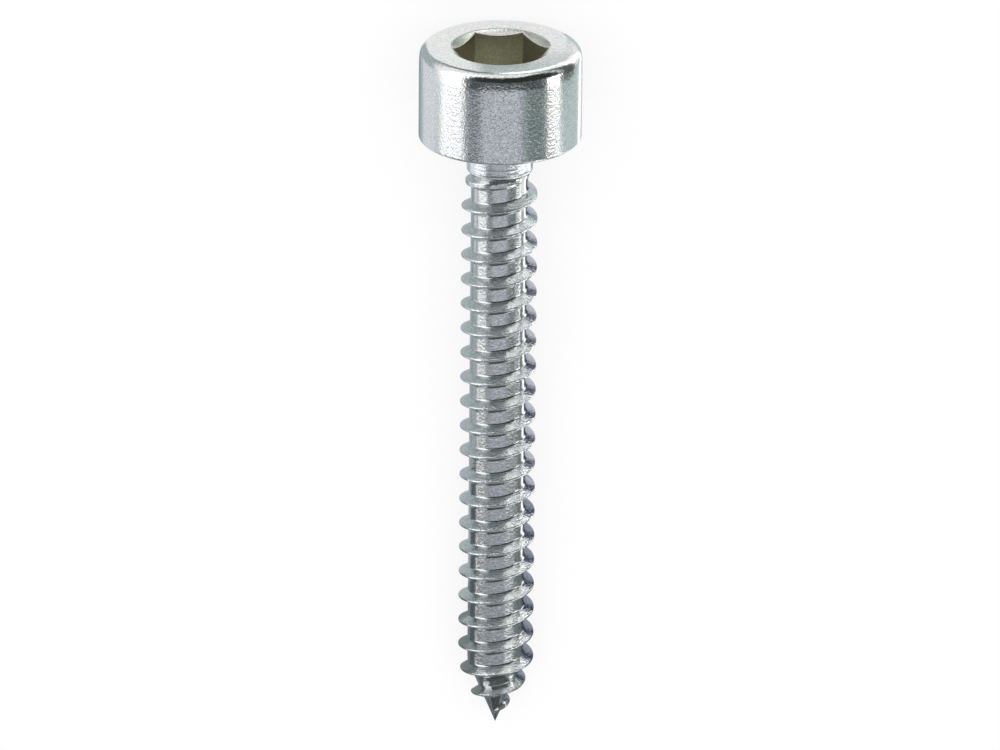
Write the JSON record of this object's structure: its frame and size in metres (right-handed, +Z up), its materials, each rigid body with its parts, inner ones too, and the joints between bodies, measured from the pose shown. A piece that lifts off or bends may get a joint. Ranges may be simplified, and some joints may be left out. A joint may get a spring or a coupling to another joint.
{
  "type": "self-tapping screw",
  "caption": "Self-tapping screw with a cylindrical hexagon-socket head, a short plain neck and a coarse right-hand thread that runs down to a gimlet point.",
  "frame": {"origin": "centre of the bounding box's base, on the surface that the screw lies on", "axes": "+Y along the screw's length towards its head, +Z up from the surface, +X across the screw"},
  "size_m": [0.0098, 0.0444, 0.0102],
  "materials": {
    "bright_steel": "bright zinc plating, fine-grained satin"
  },
  "bodies": {
    "root": {"screw": "bright_steel"}
  },
  "joints": []
}
